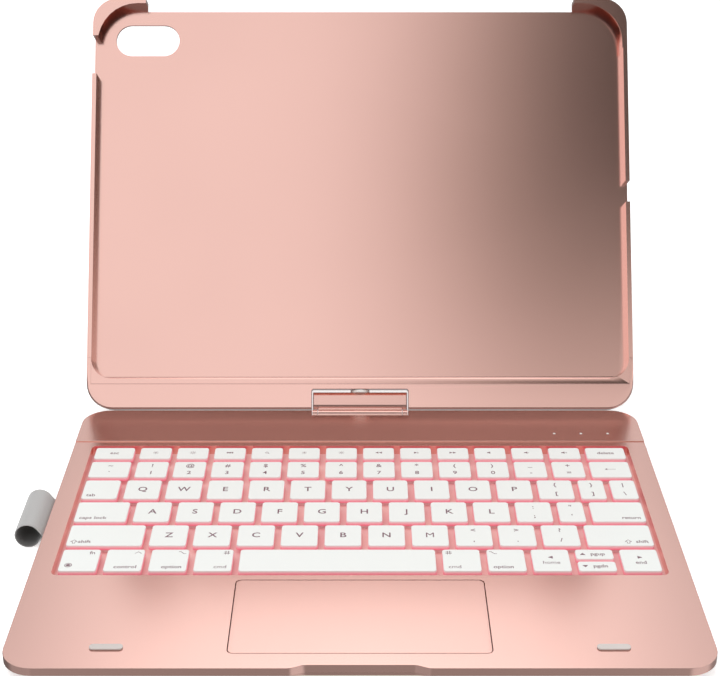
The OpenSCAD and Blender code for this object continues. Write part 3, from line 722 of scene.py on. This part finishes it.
def print_legends(bm, node, caps):
    """The print on one key, or on a row of keys that move together."""
    z = caps[0][1][2] + 0.004 * MM
    centres = [((a[0] + b[0]) / 2, (a[1] + b[1]) / 2) for a, b in caps]
    low, high = caps[0]
    margin = 2.0 * MM
    if node in PAIRS:
        for (x, y), text in zip(centres, PAIRS[node]):
            if len(text) == 1:
                add_print(bm, text, x, y, z, LETTER)
            else:
                rise = 3.1 * MM if node == "keys_number_row" else 3.7 * MM
                add_print(bm, text[0], x, y + rise, z, SMALL)
                add_print(bm, text[1], x, y - rise, z, SMALL)
    elif node == "keys_function_row":
        for (x, y), sign in zip(centres, FUNCTION_SIGNS):
            sign(bm, x, y + 0.4 * MM, z)
    elif node in WORDS:
        word, side = WORDS[node]
        y = low[1] + 3.0 * MM
        x, align = (low[0] + margin, "LEFT") if side == "left" else (high[0] - margin, "RIGHT")
        if word == "shift":
            sign_arrow_up(bm, x + (1.0 if side == "left" else -8.0) * MM, y, z)
            x += 2.6 * MM if side == "left" else 0
        add_print(bm, word, x, y, z, WORD, align)
        if word in ("control", "option", "cmd"):
            side_x = high[0] - 2.6 * MM if side == "right" else low[0] + 2.6 * MM
            modifier_sign(bm, word, side_x, high[1] - 2.6 * MM, z)
    elif node == "key_escape":
        add_print(bm, "esc", centres[0][0], centres[0][1], z, WORD)
    elif node == "key_lock":
        add_print(bm, "delete", centres[0][0], centres[0][1], z, WORD)
    elif node == "key_backspace":
        sign_arrow_left(bm, centres[0][0], centres[0][1], z)
    elif node == "key_fn":
        x, y = low[0] + 3.6 * MM, low[1] + 4.2 * MM
        ring(bm, 1.05, 0.25, z, x, y, 24)
        add_shape(bm, disc(0.6), z, x, y)
        add_print(bm, "fn", high[0] - margin, high[1] - 2.8 * MM, z, WORD, "RIGHT")
    elif node in ("key_arrow_left", "key_arrow_right"):
        way = 1 if node == "key_arrow_left" else -1
        x, y = centres[0]
        add_shape(bm, [(-0.8 * way, 0), (0.6 * way, -0.7), (0.6 * way, 0.7)][:: way], z, x, y + 2.0 * MM)
        add_print(bm, "home" if way == 1 else "end", x, y - 1.8 * MM, z, WORD)
    elif node in ("key_arrow_up", "key_arrow_down"):
        way = 1 if node == "key_arrow_up" else -1
        x, y = centres[0]
        add_shape(bm, [(-0.8, -0.5 * way), (0.8, -0.5 * way), (0, 0.6 * way)][:: way], z, x - 4.6 * MM, y)
        add_print(bm, "pgup" if way == 1 else "pgdn", x + 1.3 * MM, y, z, WORD)


def sign_arrow_up(bm, x, y, z):
    outline = [(-0.35, -0.9), (0.35, -0.9), (0.35, 0), (0.95, 0), (0, 1.0), (-0.95, 0), (-0.35, 0)]
    for i in range(len(outline)):
        (ax, ay), (bx, by) = outline[i], outline[(i + 1) % len(outline)]
        length = math.hypot(bx - ax, by - ay)
        nx, ny = 0.08 * (by - ay) / length, -0.08 * (bx - ax) / length
        stroke = [(ax + nx, ay + ny), (bx + nx, by + ny), (bx - nx, by - ny), (ax - nx, ay - ny)]
        add_shape(bm, stroke, z, x, y)


def modifier_sign(bm, word, x, y, z):
    half = 0.09
    if word == "control":
        add_shape(bm, [(-1.0, -0.4), (-0.85, -0.5), (0, 0.35), (0.85, -0.5), (1.0, -0.4), (0, 0.6)], z, x, y)
    elif word == "option":
        add_shape(bm, bar(-1.1, 0.45, -0.45, 0.63), z, x, y)
        add_shape(bm, [(-0.5, 0.63), (-0.6, 0.45), (0.35, -0.63), (0.5, -0.5)], z, x, y)
        add_shape(bm, bar(0.4, -0.63, 1.1, -0.45), z, x, y)
    else:
        for i in (-1, 1):
            add_shape(bm, bar(-0.9, 0.35 * i - half, 0.9, 0.35 * i + half), z, x, y)
            add_shape(bm, bar(0.35 * i - half, -0.9, 0.35 * i + half, 0.9), z, x, y)


def make_keys():
    for node in sorted(n for n, s in node_slot.items() if s == "key_white"):
        caps = solids_of(node)
        bm = bmesh.new()
        for low, high in caps:
            add_cap(bm, low, high)
        stands_for(object_from(node + "_caps", bm, made["key_white"]), node)
        bm = bmesh.new()
        print_legends(bm, node, caps)
        if len(bm.verts):
            bmesh.ops.recalc_face_normals(bm, faces=bm.faces)
            legend = object_from(node + "_legend", bm, LEGEND)
            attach(legend, node_body[node])
        else:
            bm.free()


def make_domes():
    """The rubber domes, cut apart by key, each key's share a piece of its own."""
    for node in sorted(n for n, s in node_slot.items() if s == "key_white"):
        caps = solids_of(node)
        bm = bmesh.new()
        bm.from_mesh(nodes["rubber_domes"].data)
        bmesh.ops.remove_doubles(bm, verts=bm.verts, dist=WELD)
        others = []
        for vert in bm.verts:
            x, y, z = vert.co
            if not any(low[0] < x < high[0] and low[1] < y < high[1] for low, high in caps):
                others.append(vert)
        bmesh.ops.delete(bm, geom=others, context="VERTS")
        piece = object_from(node + "_domes", bm, made["clear_plastic"], 35.0)
        stands_for(piece, "rubber_domes")
        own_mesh(piece)


# ---- Pencil loop ---------------------------------------------------------------------------------

LAYER = 0.28 * MM


def loop_path():
    """The band's middle line: in along the slot, round the bore and back out below itself."""
    low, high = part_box("pencil_loop")
    radius = (high[2] - low[2]) / 2 - LAYER - 0.03 * MM
    x, z = low[0] + (high[2] - low[2]) / 2, (low[2] + high[2]) / 2
    tab_z, edge = z - 0.5 * MM, x + radius + 1.3 * MM
    path = [(high[0] - 0.1 * MM, tab_z + LAYER + 0.01 * MM), (edge, tab_z + LAYER + 0.01 * MM)]
    steps, mouth = 56, 34
    for i in range(steps + 1):
        a = math.radians(mouth + (360 - 2 * mouth) * i / steps)
        path.append((x + radius * math.cos(a), z + radius * math.sin(a)))
    path += [(edge, tab_z - LAYER - 0.01 * MM), (high[0] - 0.1 * MM, tab_z - LAYER - 0.01 * MM)]
    return path, low[1], high[1]


def band_section(y0, y1, half, steps=6):
    """The band's cross-section: flat with round selvedges."""
    points = []
    for side, y in ((1, y1 - half), (-1, y0 + half)):
        for i in range(steps + 1):
            a = math.radians(90 - 180 * i / steps) * side
            points.append((y + side * half * math.cos(a), half * math.sin(a)))
    return points


def make_pencil_loop():
    """A band of elastic folded round into a loop, its two ends laid together and held in the edge."""
    path, y0, y1 = loop_path()
    bm = bmesh.new()
    uv = bm.loops.layers.uv.new("weave")
    rings, run = [], [0.0]
    for i, (x, z) in enumerate(path):
        before, after = path[max(0, i - 1)], path[min(len(path) - 1, i + 1)]
        tx, tz = after[0] - before[0], after[1] - before[1]
        length = math.hypot(tx, tz)
        rings.append([bm.verts.new((x - tz / length * out, y, z + tx / length * out))
                      for y, out in band_section(y0, y1, LAYER)])
        if i:
            run.append(run[-1] + math.hypot(x - path[i - 1][0], z - path[i - 1][1]))
    for k in range(len(rings) - 1):
        a, b = rings[k], rings[k + 1]
        for i in range(len(a)):
            j = (i + 1) % len(a)
            face = bm.faces.new((a[i], a[j], b[j], b[i]))
            for corner in face.loops:
                at = run[k] if corner.vert in (a[i], a[j]) else run[k + 1]
                corner[uv].uv = (at / MM, corner.vert.co.y / MM)
    bm.faces.new(rings[0])
    bm.faces.new(list(reversed(rings[-1])))
    bmesh.ops.recalc_face_normals(bm, faces=bm.faces)
    stands_for(object_from("pencil_loop_band", bm, made["loop_fabric"]), "pencil_loop")


def make_loop_stitches():
    """Two rows of thread across the mouth of the loop."""
    path, y0, y1 = loop_path()
    bm = bmesh.new()
    x, z = path[1][0] - 0.45 * MM, path[1][1] + LAYER + 0.22 * MM
    length, step, slope = 1.3 * MM, 1.9 * MM, 0.32
    shape = Matrix.Diagonal((0.14 * MM, length / 2, 0.10 * MM, 1.0))
    for row in (0.0, 0.9 * MM):
        y = y0 + 1.2 * MM
        while y + length < y1 - 0.8 * MM:
            place = Matrix.Translation((x + row, y + length / 2, z - row * slope))
            bmesh.ops.create_icosphere(bm, subdivisions=2, radius=1.0, matrix=place @ shape)
            y += step
    stitches = object_from("pencil_loop_stitches", bm, THREAD)
    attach(stitches, node_body["pencil_loop"])


# ---- The whole -----------------------------------------------------------------------------------

paint_cad_nodes()
refined("deck_cover", 0.2 * MM, 2, (deck_rim, 0.6 * MM), paint=DECK)
refined("base_bottom_cover", 0.25 * MM)
refined("trackpad_plate", 0.15 * MM)
refined("tablet_shell", 0.3 * MM)
refined("bar_front_cover", 0.12 * MM, 2, (bar_rim, 0.9 * MM))
refined("hinge_block", 0.2 * MM, smooth=10.0)
refined("hinge_bracket_left", 0.15 * MM)
refined("hinge_bracket_right", 0.15 * MM)
refined("front_bumper_pads", 0.2 * MM, 3)
refined("rubber_feet", 0.15 * MM)
refined("power_switch_knob", 0.15 * MM)
make_keys()
make_domes()
make_pencil_loop()
make_loop_stitches()
